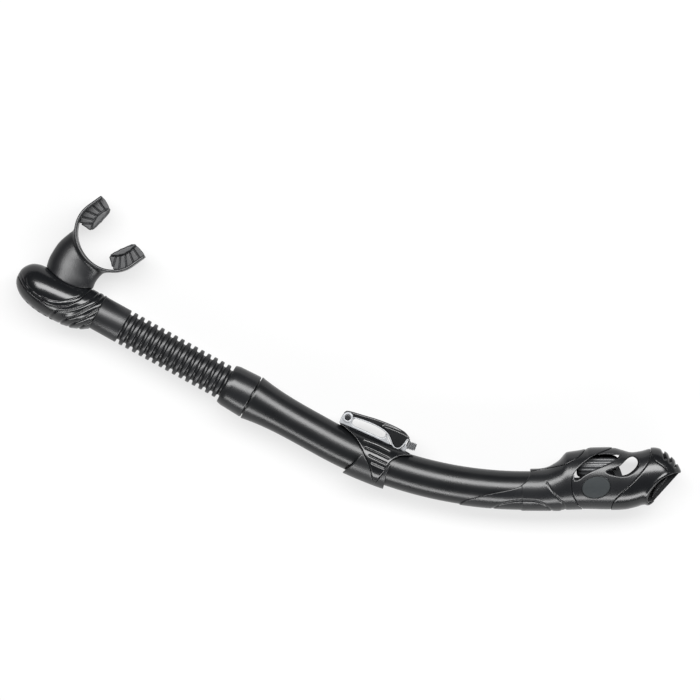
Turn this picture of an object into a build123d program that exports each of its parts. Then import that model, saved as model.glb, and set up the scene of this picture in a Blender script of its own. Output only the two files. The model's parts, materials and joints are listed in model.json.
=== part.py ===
"""Dry-top snorkel with a corrugated hose, a purge chamber, a mask strap keeper and a float valve.

Frame, in millimetres: +X runs along the straight hose axis from the purge chamber towards the dry top, +Y points to
the hollow side of the tube's bend, where the mouthpiece and the strap keeper are, and +Z is up. The snorkel lies on
its side on the surface Z = 0, and its bounding box is centred on the origin in X and Y.
Everything is drawn about the hose axis first (X = 0 at the tube's lower end) and moved to that frame at the end.
"""
import math
import os

from build123d import *

# ---- driving dimensions --------------------------------------------------------------------------
TUBE_R = 12.3  # outer radius of the breathing tube
TUBE_WALL = 2.1
FLARE_R = 15.1  # outer radius at the tube's lower end
FLARE_LENGTH = 40.0
STRAIGHT_LENGTH = 54.8  # lower straight part of the tube
BEND_R = 267.8  # centreline radius of the bend
BEND_ANGLE = 29.0
TUBE_END = 20.0  # how far the tube runs past the bend, into the dry top
SKIN = 0.6  # thickness of the dry top's sleeve over the tube

SPIGOT_R = 10.6  # the tube's lower spigot, inside the hose's top cuff
SPIGOT_BORE_R = 9.2
SPIGOT_LENGTH = 15.0
COLLAR_GAP = 0.6  # groove between the tube's flare and the collar
COLLAR_LENGTH = 18.2

HOSE_BORE_R = 8.7
RING_R = 11.6  # outer radius of a corrugation
RING_COUNT = 15
RING_WIDTH = 2.7
RING_GAP = 2.24
CUFF_R = 11.6
CUFF_LENGTH = 19.0
CHAMBER_SPIGOT_R = 9.6
RUNNING_GAP = 0.06  # radial clearance between pieces that turn on each other
CLEAR = 0.3

PITCH = RING_WIDTH + RING_GAP
HOSE_START = -(COLLAR_GAP + COLLAR_LENGTH)  # collar's lower face
CUFF_START = HOSE_START - RING_COUNT * PITCH - RING_GAP
CUFF_END = CUFF_START - CUFF_LENGTH

WALL = 2.0  # wall of the moulded shells
HALF_DEPTH = 18.0  # the widest shells reach this far to each side of the middle plane
FAR = 200.0  # longer than anything that is cut

CHAMBER_END = -114.5  # the purge chamber's mouth, which the hose's cuff turns against
COVER_SPLIT = -9.6  # the purge cover is what lies below this Y
VALVE_X = -148.0  # axis of the purge valve
VALVE_R = 9.6
SEAT_TOP = -9.4

MOUTH_ANGLE = 64.8  # direction in which the mouthpiece points, from +X
MOUTH_APEX = (-140.7, 27.0)
ARCH_HALF_WIDTH = 24.6
ARCH_ROUND = 22.5  # depth of the arch's round part
ARCH_DEPTH = 33.0
FLANGE_T = 1.9
FLANGE_HALF_HEIGHT = 14.0
NECK_OVAL = (17.0, 12.0)
AIRWAY_OVAL = (13.0, 8.6)
NECK_WALL = 2.4

KEEPER_ANGLE = 6.45  # where the strap keeper sits on the bend, from its lower end
BAND_T = 2.8
SLOT_WIDTH = 4.8
KEEPER_HALF_DEPTH = 5.6
PIN_AT = (-21.8, 19.9)  # the gate's pin, in the keeper's frame
PIN_R = 1.5
LATCH_AT = (20.0, 16.2)
SLOT_FLOOR = 16.4
SLOT_T = (-18.4, 5.8)  # where the strap slot starts and ends along the tube
GATE_UNDERSIDE = SLOT_FLOOR + SLOT_WIDTH
GATE_TOP = 25.4

FLOAT_R = 7.2
FLOAT_NOSE = 3.0  # length of the chamfer at each end of the float
FLOAT_Q = 15.4  # height of the float's axis above the tube's axis
FLOAT_START, FLOAT_END = 33.5, 60.3
PIVOT = (62.5, 5.9)  # hinge of the valve flap, in the dry top's frame
FLAP_SWING = 50.0
FLAP_CLOSED = -65.0
ARM_LENGTH = FLOAT_Q - PIVOT[1]
FLOAT_TRAVEL = 2 * ARM_LENGTH * math.tan(math.radians(FLAP_SWING / 2))
DUCT_OVAL = (7.6, 11.0)  # half height and half width of the air duct under the float
DUCT_Q = -1.5

# ---- frames --------------------------------------------------------------------------------------


def turn(angle):
    """Unit vector at that angle from +X in the plane of the bend."""
    return math.cos(math.radians(angle)), math.sin(math.radians(angle))


BEND_CENTRE = (STRAIGHT_LENGTH, BEND_R)
BEND_END = (
    STRAIGHT_LENGTH + BEND_R * turn(BEND_ANGLE)[1],
    BEND_R * (1 - turn(BEND_ANGLE)[0]),
)
KEEPER_CENTRE = (
    STRAIGHT_LENGTH + BEND_R * turn(KEEPER_ANGLE)[1],
    BEND_R * (1 - turn(KEEPER_ANGLE)[0]),
)
DRY_TOP = Plane((*BEND_END, 0), x_dir=(*turn(BEND_ANGLE), 0), z_dir=(0, 0, 1))
KEEPER = Plane((*KEEPER_CENTRE, 0), x_dir=(*turn(KEEPER_ANGLE), 0), z_dir=(0, 0, 1))
# the mouthpiece's frame: +X across the arch, +Y out of the mouth end
MOUTH = Plane((*MOUTH_APEX, 0), x_dir=(*turn(MOUTH_ANGLE - 90), 0), z_dir=(0, 0, 1))


def place(frame, shape):
    """Moves a shape drawn in a local frame to the snorkel's frame."""
    return frame.location * shape


# ---- small builders ------------------------------------------------------------------------------


def lathe(points):
    """Solid of revolution about X. The points are (x, radius)."""
    return revolve(make_face(Polyline(*[(x, r, 0) for x, r in points], close=True)), Axis.X)


def pipe(x0, x1, outer, inner):
    return lathe([(x0, inner), (x1, inner), (x1, outer), (x0, outer)])


def slab(points, z0, z1):
    """Prism over a polygon in XY."""
    return extrude(Plane.XY.offset(z0) * make_face(Polyline(*points, close=True)), z1 - z0)


def smooth_slab(points, z0, z1):
    """Prism over a closed smooth outline in XY."""
    return extrude(Plane.XY.offset(z0) * make_face(Spline(*points, periodic=True)), z1 - z0)


def disc(centre, radius, z0, z1):
    return extrude(Plane.XY.offset(z0) * Pos(*centre) * Circle(radius), z1 - z0)


def block(x0, x1, y0, y1, z0, z1):
    return Pos((x0 + x1) / 2, (y0 + y1) / 2, (z0 + z1) / 2) * Box(x1 - x0, y1 - y0, z1 - z0)


def half_space(point, direction):
    """A very large block on the side of point that direction shows, in the plane of the bend."""
    angle = math.degrees(math.atan2(direction[1], direction[0]))
    return Pos(*point, 0) * Rot(0, 0, angle) * Pos(FAR, 0, 0) * Box(2 * FAR, 2 * FAR, 2 * FAR)


def oval_loft(sections, inset=0.0):
    """Skin through ovals across X: each section is (x, centre y, half height, half width)."""
    faces = []
    for x, y, half_y, half_z in sections:
        across = Plane((x, y, 0), x_dir=(0, 1, 0), z_dir=(1, 0, 0))
        faces.append(across * Ellipse(half_y - inset, half_z - inset))
    return loft(faces)


# ---- tube and hose -------------------------------------------------------------------------------


def bent_rod(radius, start_x, end_run):
    """Round rod along the tube's centreline, from start_x to end_run past the bend."""
    line = Line((start_x, 0, 0), (STRAIGHT_LENGTH, 0, 0))
    arc = TangentArc(line @ 1, (*BEND_END, 0), tangent=(1, 0, 0))
    ux, uy = turn(BEND_ANGLE)
    end = (BEND_END[0] + end_run * ux, BEND_END[1] + end_run * uy, 0)
    path = Wire([line, arc, Line(arc @ 1, end)])
    return sweep(Plane((start_x, 0, 0), z_dir=(1, 0, 0)) * Circle(radius), path)


def main_tube():
    flare = [(0, FLARE_R)]
    for i in range(1, 9):
        x = FLARE_LENGTH * i / 8
        flare.append((x, TUBE_R + (FLARE_R - TUBE_R) * (1 - i / 8) ** 2.6))
    profile = [(0, TUBE_R - 1)] + flare + [(FLARE_LENGTH, TUBE_R - 1)]
    tube = bent_rod(TUBE_R, 0, TUBE_END) + lathe(profile)
    tube += pipe(-SPIGOT_LENGTH, 2, SPIGOT_R, SPIGOT_BORE_R)
    bore = bent_rod(TUBE_R - TUBE_WALL, 2, TUBE_END + 1) + pipe(-SPIGOT_LENGTH - 1, 2.5, SPIGOT_BORE_R, 0)
    return tube - bore


def hose_collar():
    near, far = -COLLAR_GAP, HOSE_START
    outer = [(near, 14.8), (near - 0.6, 14.85), (far + 1.4, 13.7), (far, 12.9)]
    return lathe([(near, 12.5)] + outer + [(far, 12.5)])


def hose_top_cuff():
    """The hose's upper end: it grips the tube's spigot, and holds the first corrugation's joint."""
    hinge = HOSE_START - RING_GAP / 2
    body = pipe(HOSE_START, -COLLAR_GAP, 12.4, SPIGOT_R + RUNNING_GAP)
    throat = pipe(HOSE_START, -SPIGOT_LENGTH - 0.3, SPIGOT_R + 0.5, HOSE_BORE_R)
    return body + throat + male_sleeve(hinge)


def male_sleeve(hinge):
    """Thin round sleeve about a joint of the hose, on the tube's side. It nests in the next corrugation."""
    reach = 1.9
    outer = ball_zone(hinge, 9.4, hinge - reach, hinge + RING_GAP / 2 + 0.2)
    return outer - pipe(hinge - FAR, hinge + FAR, HOSE_BORE_R, 0)


def ball_zone(centre, radius, x0, x1):
    ball = Pos(centre, 0, 0) * Sphere(radius)
    return ball & pipe(x0, x1, radius + 1, 0)


def socket(hinge, depth):
    """The round pocket, about the same joint, that the sleeve turns in."""
    return ball_zone(hinge, 9.4 + CLEAR + 0.05, hinge - depth, hinge + 5)


def hose_ring(number):
    """One corrugation of the hose. It turns about the joint on its tube side."""
    high = HOSE_START - RING_GAP - (number - 1) * PITCH
    low = high - RING_WIDTH
    crest = 0.45
    shell = lathe(
        [(low, HOSE_BORE_R), (high, HOSE_BORE_R), (high, RING_R - crest), (high - crest, RING_R)]
        + [(low + crest, RING_R), (low, RING_R - crest)]
    )
    shell -= socket(high + RING_GAP / 2, 3.2)
    return shell + male_sleeve(low - RING_GAP / 2)


def hose_bottom_cuff():
    shell = lathe(
        [(CUFF_END, CHAMBER_SPIGOT_R + RUNNING_GAP), (CUFF_START - 4, CHAMBER_SPIGOT_R + RUNNING_GAP)]
        + [(CUFF_START - 4, HOSE_BORE_R), (CUFF_START, HOSE_BORE_R), (CUFF_START, CUFF_R - 0.5)]
        + [(CUFF_START - 0.5, CUFF_R), (CUFF_END, CUFF_R)]
    )
    return shell - socket(CUFF_START + RING_GAP / 2, 3.2)


# ---- purge chamber and mouthpiece ----------------------------------------------------------------

CHAMBER_SECTIONS = [
    (CHAMBER_END, -0.2, 12.2, 12.2),
    (-119.0, -1.5, 13.2, 13.2),
    (-127.0, -3.0, 14.6, 14.8),
    (-136.0, -3.6, 14.8, 16.0),
    (-147.0, -4.2, 14.2, 16.8),
    (-157.0, -4.2, 13.4, 16.2),
    (-163.5, -3.9, 11.6, 14.4),
    (-168.0, -3.6, 8.4, 11.0),
    (-170.6, -3.4, 4.4, 6.2),
]


def chamber_shell():
    outer = oval_loft(CHAMBER_SECTIONS)
    cavity = oval_loft([s for s in CHAMBER_SECTIONS if -169 < s[0] < CHAMBER_END - 8], WALL)
    return outer - cavity


def neck_ovals(half_x, half_z, rise):
    """Skin of the mouthpiece's bent neck, from the chamber's roof to the flange."""
    ux, uy = turn(MOUTH_ANGLE)
    base = Plane((-141.5, rise, 0), x_dir=(1, 0, 0), z_dir=(0, 1, 0))
    middle_angle = 90 - (90 - MOUTH_ANGLE) * 0.55
    mx, my = turn(middle_angle)
    middle = Plane((-140.4, 21.0, 0), x_dir=(my, -mx, 0), z_dir=(mx, my, 0))
    top = Plane((-140.7 + 9 * ux, 27.0 + 9 * uy, 0), x_dir=(uy, -ux, 0), z_dir=(ux, uy, 0))
    faces = [
        base * Ellipse(half_x, half_z),
        middle * Ellipse(half_x - 0.6, half_z - 0.4),
        top * Ellipse(half_x, half_z),
    ]
    return loft(faces)


def arch_face(half_width, round_depth, apex):
    """Region inside a dental arch: a half ellipse that opens into two straight sides."""
    mouth = ARCH_DEPTH + 40
    points = [(half_width, mouth), (half_width, apex + round_depth)]
    for i in range(1, 24):
        a = math.pi * i / 24
        points.append((half_width * math.cos(a), apex + round_depth * (1 - math.sin(a))))
    return points + [(-half_width, apex + round_depth), (-half_width, mouth)]


def mouthpiece():
    """Lip flange, bent neck and two bite tabs, in one piece of silicone."""
    height = FLANGE_HALF_HEIGHT
    outer = slab(arch_face(ARCH_HALF_WIDTH, ARCH_ROUND, 0), -height, height)
    inner_points = arch_face(ARCH_HALF_WIDTH - FLANGE_T, ARCH_ROUND - FLANGE_T, FLANGE_T)
    inner = slab(inner_points, -FAR / 4, FAR / 4)
    ends = block(-40, 40, -5, ARCH_DEPTH, -height, height)
    body = place(MOUTH, (outer - inner) & ends)
    body += neck_ovals(*NECK_OVAL, rise=8.6) - place(MOUTH, inner)
    body -= neck_ovals(*AIRWAY_OVAL, rise=8.0)
    body -= place(MOUTH, airway_mouth())
    for side in (-1, 1):
        body += place(MOUTH, bite_tab(side))
    spigot_pocket = oval_plug(NECK_OVAL[0] - NECK_WALL, NECK_OVAL[1] - NECK_WALL, 5.0, 15.1)
    return body - spigot_pocket - chamber_roof()


def airway_mouth():
    """Opens the airway through the flange, into the mouth."""
    across = Plane((0, -2, 0), x_dir=(1, 0, 0), z_dir=(0, 1, 0))
    return extrude(across * Ellipse(*AIRWAY_OVAL), 14)


def oval_plug(half_x, half_z, y0, y1):
    across = Plane((-141.5, y0, 0), x_dir=(1, 0, 0), z_dir=(0, 1, 0))
    return extrude(across * Ellipse(half_x, half_z), y1 - y0)


def chamber_roof():
    """The chamber's outer form, a hair larger, that the neck sits on."""
    return oval_loft(CHAMBER_SECTIONS, -0.05)


def bite_tab(side):
    """One bite wing: a plate between the teeth, with a taller lug along its inner edge."""
    edge = ARCH_HALF_WIDTH - FLANGE_T + 0.4
    inner_edge = [(9.8, 14.3), (10.6, 20), (12.0, 26), (13.5, 32.2)]
    plate = [(edge, 33.0), (edge, 22.5), (edge - 1.2, 17.0), (edge - 4.6, 12.3)] + inner_edge
    lug = [(17.3, 32.6), (16.0, 26), (14.8, 20), (13.6, 13.4)] + inner_edge
    tab = slab([(side * x, y) for x, y in plate], -2.2, 2.2)
    return tab + slab([(side * x, y) for x, y in lug], -5.2, 5.2)


def port_spigot():
    """Oval spigot on the chamber's roof that the mouthpiece is pushed over."""
    wall = 1.6
    half_x, half_z = NECK_OVAL[0] - NECK_WALL - 0.05, NECK_OVAL[1] - NECK_WALL - 0.05
    return oval_plug(half_x, half_z, 5.5, 15.0), oval_plug(half_x - wall, half_z - wall, 0.0, 16.0)


def chamber_body():
    shell = chamber_shell()
    solid, hole = port_spigot()
    cavity = oval_loft([s for s in CHAMBER_SECTIONS if -169 < s[0] < CHAMBER_END - 8], WALL)
    body = shell + (solid - cavity) - hole
    body -= block(-FAR, FAR, -FAR, COVER_SPLIT, -FAR, FAR) & block(-FAR, -130, -FAR, FAR, -FAR, FAR)
    spigot = pipe(CUFF_START - 4.6, CHAMBER_END - 3, CHAMBER_SPIGOT_R, CHAMBER_SPIGOT_R - 1.5)
    throat = pipe(CHAMBER_END + 1, -134, CHAMBER_SPIGOT_R - 1.5, 0)
    return body - throat + spigot


def cover_zone():
    return block(-FAR, -130.1, -FAR, COVER_SPLIT - 0.1, -FAR, FAR)


def chamber_cover():
    """Snap-on purge cover below the chamber, with exhaust slots."""
    cover = chamber_shell() & cover_zone()
    for i in range(-2, 3):
        cover -= block(VALVE_X + i * 4.6 - 1.1, VALVE_X + i * 4.6 + 1.1, -30, -14.0, -8, 8)
    return cover


def upright(x, y0, y1, radius):
    """Round plug about a line along Y."""
    across = Plane((x, y0, 0), x_dir=(1, 0, 0), z_dir=(0, 1, 0))
    return extrude(across * Circle(radius), y1 - y0)


def purge_seat():
    """Valve seat: a ring with four spokes and a hub, clipped into the chamber's floor."""
    seat = upright(VALVE_X, SEAT_TOP - 1.4, SEAT_TOP, VALVE_R + 1.6)
    y0, y1 = SEAT_TOP - 2, SEAT_TOP + 1
    ports = upright(VALVE_X, y0, y1, VALVE_R - 1.4) - upright(VALVE_X, y0, y1, 2.6)
    ports -= block(VALVE_X - 0.7, VALVE_X + 0.7, -FAR, FAR, -FAR, FAR)
    ports -= block(VALVE_X - FAR, VALVE_X + FAR, -FAR, FAR, -0.7, 0.7)
    return seat - ports - upright(VALVE_X, y0, y1, 1.35)


def purge_valve():
    """Silicone disc under the seat, with the stem that holds it at its middle."""
    under = SEAT_TOP - 1.4 - 0.02
    disc_part = upright(VALVE_X, under - 0.8, under, VALVE_R)
    stem = upright(VALVE_X, under - 0.4, SEAT_TOP + 1.9, 1.2)
    bead = upright(VALVE_X, SEAT_TOP + 1.9, SEAT_TOP + 2.9, 1.9)
    return disc_part + stem + bead


def purge_gasket():
    """Flat ring between the seat and the purge cover's rim."""
    y1 = SEAT_TOP - 1.45
    return upright(VALVE_X, y1 - 1.1, y1, VALVE_R + 1.6) - upright(VALVE_X, y1 - 2, y1 + 1, VALVE_R + 0.4)


def mouthpiece_lock_ring():
    """Oval snap ring under the chamber's port that holds the mouthpiece's spigot sleeve."""
    wall = 1.6
    half_x, half_z = NECK_OVAL[0] - NECK_WALL - wall - 0.1, NECK_OVAL[1] - NECK_WALL - wall - 0.1
    return oval_plug(half_x, half_z, 10.5, 14.0) - oval_plug(half_x - 1.2, half_z - 1.2, 10.0, 15.0)


# ---- strap keeper --------------------------------------------------------------------------------


def bend_ring(radius, low_angle, high_angle):
    """Piece of a torus about the bend's centre, in the snorkel's frame, between two angles along the bend."""
    start = Plane((STRAIGHT_LENGTH, 0, 0), z_dir=(1, 0, 0)) * Circle(radius)
    axis = Axis((*BEND_CENTRE, 0), (0, 0, 1))
    piece = revolve(start, axis, high_angle - low_angle)
    spin = Pos(*BEND_CENTRE, 0) * Rot(0, 0, low_angle) * Pos(-BEND_CENTRE[0], -BEND_CENTRE[1], 0)
    return spin * piece


def along(t):
    """Angle along the bend of a place t from the keeper's middle."""
    return KEEPER_ANGLE + math.degrees(t / BEND_R)


def keeper_bore():
    return bend_ring(TUBE_R + 0.1, along(-40), along(40))


def keeper_band():
    """Elastic band round the tube's outer side."""
    ring = bend_ring(TUBE_R + BAND_T, along(-11.5), along(16.5)) - keeper_bore()
    return ring & place(KEEPER, block(-FAR, FAR, -FAR, -2.1, -FAR, FAR))


def keeper_saddle():
    """Rigid saddle over the band's ends, which carries the strap frame."""
    ring = bend_ring(TUBE_R + BAND_T + 0.2, along(-7.0), along(14.5))
    ring &= place(KEEPER, block(-FAR, FAR, -2.0, FAR, -FAR, FAR))
    stand = [(-24.5, 14.3), (-13.8, 10.0), (-8, 7), (14, 7), (17, 9), (21.3, 14.3)]
    top = place(KEEPER, slab(stand, -5.4, 5.4))
    return (ring + top) - keeper_bore()


def strap_frame():
    """The keeper's loop: a rail under the strap, a forked post at the pin and a post at the far end."""
    depth = KEEPER_HALF_DEPTH
    left, right = SLOT_T
    frame = slab([(-25.0, 14.4), (21.4, 14.4), (21.4, SLOT_FLOOR), (-25.0, SLOT_FLOOR)], -depth, depth)
    post = slab([(-25.0, 15), (left, 15), (left, 20.2), (-25.2, 20.2)], -depth, depth)
    post += disc(PIN_AT, 3.4, -depth, depth)
    frame += post - block(-26, -18, SLOT_FLOOR + 0.2, 30, -2.4, 2.4)
    top = GATE_UNDERSIDE - 0.3
    inner = depth - 1.7
    frame += slab([(right, 15), (12.6, 15), (12.6, 19.6), (7.6, top), (right, top)], -inner, inner)
    frame += slab([(12.0, 15), (21.4, 15), (21.4, 17.6), (12.0, 18.6)], -4.0, 4.0)
    frame -= block(18.6, 23, 14.0, 20, -2.3, 2.3)
    frame -= disc(PIN_AT, PIN_R + 0.02, -depth - 1, depth + 1)
    frame -= disc(LATCH_AT, 0.94, -depth - 1, depth + 1)
    return place(KEEPER, frame) - bend_ring(TUBE_R + BAND_T + 0.25, along(-40), along(40))


def keeper_gate():
    """Upper arm of the loop. It swings up about the pin to let the strap in."""
    bar = slab(
        [(-21.8, 17.2), (-19.0, 18.6), (-18.0, GATE_UNDERSIDE), (12.8, GATE_UNDERSIDE), (12.8, 20.0)]
        + [(19.6, 20.0), (19.8, 23.2), (18.4, 24.4), (12.0, GATE_TOP), (-21.6, 23.3), (-23.6, 22.4)]
        + [(-24.6, 19.9), (-23.9, 18.0)],
        -2.1,
        2.1,
    )
    wide = slab(
        [(-15.5, GATE_UNDERSIDE), (12.8, GATE_UNDERSIDE), (12.8, 20.2), (19.6, 20.2), (19.8, 23.2)]
        + [(18.4, 24.4), (12.0, GATE_TOP), (-15.5, 23.9)],
        -KEEPER_HALF_DEPTH,
        KEEPER_HALF_DEPTH,
    )
    cheek = [(6.0, 21.5), (8.4, 20.4), (11.0, 15.9), (13.4, 14.6), (15.8, 15.2), (18.4, 18.6), (19.4, 21.5)]
    gate = bar + wide
    for z0, z1 in ((4.3, KEEPER_HALF_DEPTH + 0.9), (-KEEPER_HALF_DEPTH - 0.9, -4.3)):
        gate += slab(cheek, z0, z1)
    gate -= block(5.0, 21.6, 14.0, SLOT_FLOOR + 0.25, -5.7, 5.7)
    return place(KEEPER, gate - disc(PIN_AT, PIN_R + 0.05, -9, 9))


def keeper_pin():
    return place(KEEPER, disc(PIN_AT, PIN_R, -KEEPER_HALF_DEPTH, KEEPER_HALF_DEPTH))


def keeper_latch():
    """Knurled spring tab at the keeper's end, which holds the gate shut."""
    hook = [(18.9, 15.4), (21.2, 15.4), (22.0, 21.4), (20.6, 23.6), (20.25, 23.2), (20.2, 18.4), (18.9, 17.4)]
    lever = slab(hook, -2.0, 2.0)
    tab = slab([(21.8, 16.4), (25.6, 16.0), (26.3, 16.8), (25.9, 20.2), (21.8, 20.4)], -3.2, 3.2)
    tab += slab([(21.0, 16.4), (22.4, 16.4), (22.4, 20.4), (21.0, 20.4)], -2.0, 2.0)
    for i in range(4):
        tab -= block(22.0 + i * 1.0, 22.4 + i * 1.0, 10, 30, 3.0, 4)
        tab -= block(22.0 + i * 1.0, 22.4 + i * 1.0, 10, 30, -4, -3.0)
    return place(KEEPER, (lever + tab) - disc(LATCH_AT, 0.94, -5, 5))


def latch_pin():
    return place(KEEPER, disc(LATCH_AT, 0.9, -3.9, 3.9))


# ---- dry top -------------------------------------------------------------------------------------

DRY_TOP_SECTIONS = [
    (4.0, 0.0, TUBE_R + SKIN, TUBE_R + SKIN),
    (12.0, 1.0, 13.9, 13.9),
    (21.0, 3.4, 16.3, 15.8),
    (30.0, 6.4, 19.0, 17.2),
    (42.0, 7.6, 20.2, HALF_DEPTH),
    (57.0, 7.3, 20.2, HALF_DEPTH),
    (68.0, 6.4, 18.2, 17.4),
    (80.0, 8.6, 18.3, 16.8),
    (89.0, 9.7, 15.7, 14.6),
    (96.0, 9.9, 10.8, 10.8),
    (101.3, 10.6, 4.4, 4.8),
]
BULKHEAD = (22.5, 25.5)
CAGE_START = 31.0
SEAM = ((68.0, 3.4), (0.809, -0.588))  # a point on the joint between cage and nose, and its direction
INLET = ((91.2, 0.9), (0.73, -0.684))  # the slanted open end of the nose

WINDOW_FLOAT = [(31.6, 6.9), (33.0, 12.6), (36.9, 18.3), (41.3, 22.0), (46.0, 23.5), (55.9, 23.5)]
WINDOW_FLOAT += [(61.5, 22.7), (55.9, 19.2), (51.9, 16.6), (46.6, 13.9), (41.3, 10.9), (36.0, 8.3)]
WINDOW_OPEN = [(52.1, 12.3), (55.9, 13.9), (61.9, 17.2), (65.8, 20.2), (69.2, 21.6), (71.9, 20.5)]
WINDOW_OPEN += [(73.4, 18.2), (72.7, 15.4), (70.5, 12.9), (67.0, 10.6), (62.5, 8.9), (57.5, 9.7)]
BADGE = ((45.5, 2.0), 9.2, 6.9, 14.0)


def dry_top_form(inset=0.0, sections=DRY_TOP_SECTIONS):
    return oval_loft(sections, inset)


def dry_top_hollow(start=BULKHEAD[0]):
    inner = dry_top_form(WALL)
    return inner & half_space((start, 0), (1, 0))


def dry_top_sleeve():
    """Lower housing of the dry top, moulded over the tube's end."""
    body = dry_top_form() & half_space((CAGE_START, 0), (-1, 0))
    body -= dry_top_hollow()
    body -= lathe([(0, 0), (0, TUBE_R + 0.05), (TUBE_END + 0.3, TUBE_R + 0.05), (TUBE_END + 0.3, 0)])
    body -= pipe(TUBE_END, BULKHEAD[0] + 0.5, TUBE_R - TUBE_WALL, 0)
    return place(DRY_TOP, body)


def sleeve_skirt():
    """Thin skirt of the dry top that runs down the tube: long below, short above."""
    skirt = bend_ring(TUBE_R + SKIN, BEND_ANGLE - 10.0, BEND_ANGLE)
    skirt -= bend_ring(TUBE_R + 0.05, BEND_ANGLE - 11.0, BEND_ANGLE + 1)
    cut = place(DRY_TOP, half_space((-19.0, 0), (0.5, -0.87)) & half_space((-46, 0), (1, 0)))
    ring = place(DRY_TOP, pipe(0, 3.9, TUBE_R + SKIN, TUBE_R + 0.05))
    return (skirt & cut) + ring


def bulkhead():
    """Wall across the dry top: it carries the air duct and is the floor of the float's cage."""
    plate = dry_top_form(WALL + 0.1) & block(*BULKHEAD, -FAR, FAR, -FAR, FAR)
    duct = oval_duct(*DUCT_OVAL, BULKHEAD[0], 80) & seat_side() & dry_top_form(WALL + 0.1)
    rail = block(BULKHEAD[1] - 1, 59.0, DUCT_Q + DUCT_OVAL[0] - 1.5, 8.1, -0.9, 0.9)
    ears = Part()
    ear = [(55.5, -2.5), (58.5, -2.5), (64.6, 4.2), (64.4, 7.0), (62.0, 7.9), (60.0, 6.6)]
    for side in (-1, 1):
        ears += slab(ear, *sorted((side * 11.3, side * 12.7)))
        ears += block(55.5, 58.3, -3.6, -0.2, *sorted((side * 9.8, side * 12.7)))
    part = plate + duct + rail + ears
    part -= oval_duct(DUCT_OVAL[0] - 1.4, DUCT_OVAL[1] - 1.4, BULKHEAD[0] - 1, 80)
    return place(DRY_TOP, part - disc(PIVOT, 1.03, -20, 20))


def oval_duct(half_q, half_z, p0, p1):
    across = Plane((p0, DUCT_Q, 0), x_dir=(0, 1, 0), z_dir=(1, 0, 0))
    return extrude(across * Ellipse(half_q, half_z), p1 - p0)


def seat_side():
    """Everything on the duct's side of the slanted valve seat."""
    ux, uy = turn(FLAP_CLOSED - 90)
    reach = 2.1
    return half_space((PIVOT[0] + reach * ux, PIVOT[1] + reach * uy), (ux, uy))


def cage_zone():
    return half_space((CAGE_START + 0.05, 0), (1, 0)) & half_space(SEAM[0], (-SEAM[1][0], -SEAM[1][1]))


def cage_shell():
    """Middle shell with a window on the float and an open window beyond it, on both sides."""
    shell = (dry_top_form(0.3) & cage_zone()) - dry_top_hollow(BULKHEAD[0])
    shell -= smooth_slab(WINDOW_FLOAT, -FAR / 4, FAR / 4)
    shell -= smooth_slab(WINDOW_OPEN, -FAR / 4, FAR / 4)
    shell -= badge_form(0.05)
    return place(DRY_TOP, shell)


def badge_form(gap):
    centre, half_p, half_q, tilt = BADGE
    oval = Pos(*centre) * Rot(0, 0, tilt) * Ellipse(half_p + gap, half_q + gap)
    blank = extrude(Plane.XY.offset(-FAR / 4) * oval, FAR / 2)
    return blank - dry_top_form(1.1)


def badges():
    """Plain oval inlays on both sides of the cage."""
    return place(DRY_TOP, badge_form(0) & dry_top_form(0.2))


def nose_shell():
    """Nose of the dry top, with the slanted air inlet and grip ridges."""
    zone = half_space((SEAM[0][0] + 0.05, SEAM[0][1]), SEAM[1])
    zone &= half_space(INLET[0], (-INLET[1][0], -INLET[1][1]))
    return place(DRY_TOP, (dry_top_form() & zone) - dry_top_form(WALL))


def float_body():
    """Sealed float that slides along the cage. Its side pins drive the flap's arms."""
    pin_p = PIVOT[0] - FLOAT_TRAVEL / 2
    waist = FLOAT_R - FLOAT_NOSE / 2
    profile = [(FLOAT_START, 0), (FLOAT_START, waist), (FLOAT_START + FLOAT_NOSE, FLOAT_R)]
    profile += [(FLOAT_END - FLOAT_NOSE, FLOAT_R), (FLOAT_END, waist), (FLOAT_END, 0)]
    body = Pos(0, FLOAT_Q, 0) * lathe(profile)
    body += disc((pin_p, FLOAT_Q), 0.8, -10.5, 10.5)
    return place(DRY_TOP, body - block(FLOAT_START - 1, FLOAT_END + 1, 0, 8.5, -1.3, 1.3))


def flap_lever():
    """Valve flap and its two arms, turned about the hinge pin by the float. Drawn closed, then opened."""
    lever = disc((0, 0), 1.5, -10.6, 10.6)
    for z0, z1 in ((-10.2, -8.6), (8.6, 10.2)):
        arm = slab([(-1.7, 0), (1.7, 0), (2.4, 7.6), (2.4, 12.9), (-2.4, 12.9), (-2.4, 7.6)], z0, z1)
        arm -= slab([(-1.25, 8.4), (1.25, 8.4), (1.25, 11.9), (-1.25, 11.9)], z0 - 1, z1 + 1)
        lever += Rot(0, 0, FLAP_SWING / 2) * arm
    lever += Rot(0, 0, FLAP_CLOSED + FLAP_SWING) * flap_plate(10.2, -0.8, 0.8)
    return place(DRY_TOP, Pos(*PIVOT, 0) * (lever - disc((0, 0), 1.06, -20, 20)))


def flap_plate(half_width, y0, y1):
    """Oval plate beside the hinge, along +X, from y0 to y1 in thickness."""
    middle, half_length = 7.9, 7.6
    across = Plane((middle, y0, 0), x_dir=(1, 0, 0), z_dir=(0, 1, 0))
    return extrude(across * Ellipse(half_length, half_width), y1 - y0)


def flap_seal():
    """Silicone pad on the flap's closing side."""
    pad = Rot(0, 0, FLAP_CLOSED + FLAP_SWING) * flap_plate(9.6, -1.95, -0.8)
    pad &= Rot(0, 0, FLAP_CLOSED + FLAP_SWING) * block(1.7, 30, -5, 5, -20, 20)
    return place(DRY_TOP, Pos(*PIVOT, 0) * pad)


def flap_pin():
    return place(DRY_TOP, disc(PIVOT, 1.0, -12.7, 12.7))


# ---- assembly ------------------------------------------------------------------------------------


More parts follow.
